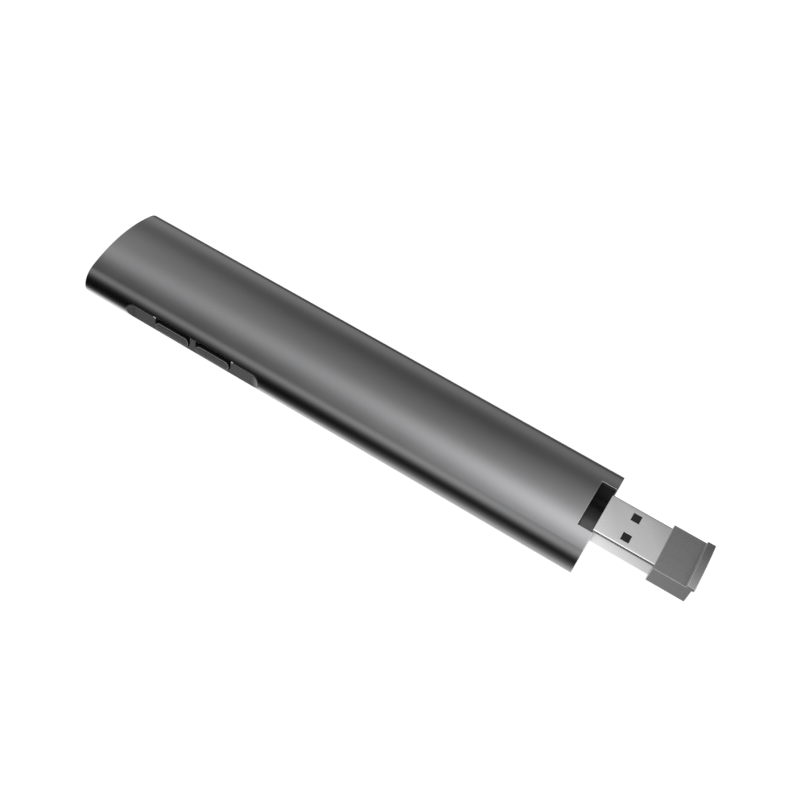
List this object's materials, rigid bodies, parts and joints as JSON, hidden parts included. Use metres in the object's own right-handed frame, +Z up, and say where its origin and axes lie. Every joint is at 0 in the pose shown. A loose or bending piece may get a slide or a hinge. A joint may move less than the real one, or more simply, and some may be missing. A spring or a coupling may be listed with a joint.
{
  "type": "wireless presentation clicker",
  "caption": "Slim arched aluminium presentation clicker with side page keys in a finger scoop and a USB receiver that slides out of its tail.",
  "frame": {"origin": "centre of the bounding box's base, on the plane of the flat underside, with the receiver pulled out", "axes": "+X along the body from the front end to the tail, +Z up from the flat underside to the arch, keys on the -Y side"},
  "size_m": [0.1634, 0.0294, 0.0106],
  "materials": {
    "anodised_aluminium": "dark grey anodised, fine brushed along the body, semi-gloss",
    "key_plastic": "fine moulded satin, black",
    "end_plastic": "fine moulded matte, black",
    "housing_plastic": "fine moulded satin, mid grey",
    "plug_steel": "nickel plated, satin",
    "spring_steel": "bright rolled",
    "contact_gold": "gold plated",
    "board": "green solder mask",
    "chip": "moulded epoxy",
    "ceramic": "fired ceramic",
    "clear_acrylic": "frosted clear",
    "cell_foil": "laminated foil",
    "tape": "foam tape",
    "lead_insulation": "soft insulation"
  },
  "bodies": {
    "body": {"body_shell": "anodised_aluminium", "front_cap": "end_plastic", "light_pipe": "clear_acrylic", "status_led": "clear_acrylic", "charge_port": "plug_steel", "charge_tongue": "end_plastic", "tray": "end_plastic", "main_board": "board", "radio_chip": "chip", "crystal": "plug_steel", "charger_chip": "chip", "chip_antenna": "ceramic", "passives": "ceramic", "cell": "cell_foil", "cell_tape": "tape", "cell_leads": "lead_insulation", "key_frame": "key_plastic", "forward_switch": "chip", "back_switch": "chip", "receiver_bay": "end_plastic", "bay_spring": "spring_steel", "bay_screws": "spring_steel"},
    "forward_key": {"forward_key": "key_plastic", "forward_plunger": "clear_acrylic"},
    "back_key": {"back_key": "key_plastic", "back_plunger": "clear_acrylic"},
    "receiver": {"plug_shell": "plug_steel", "plug_tongue": "end_plastic", "plug_contacts": "contact_gold", "receiver_housing": "housing_plastic", "receiver_board": "board", "receiver_chip": "chip", "receiver_crystal": "plug_steel"}
  },
  "joints": [
    {"name": "forward_press", "type": "slide", "parent": "body", "child": "forward_key", "axis": [0, 1, 0], "range_m": [0, 0.00045], "stiffness_N_per_m": 2500},
    {"name": "back_press", "type": "slide", "parent": "body", "child": "back_key", "axis": [0, 1, 0], "range_m": [0, 0.00045], "stiffness_N_per_m": 2500},
    {"name": "receiver_slide", "type": "slide", "parent": "body", "child": "receiver", "axis": [1, 0, 0], "range_m": [-0.0252, 0.005]}
  ]
}
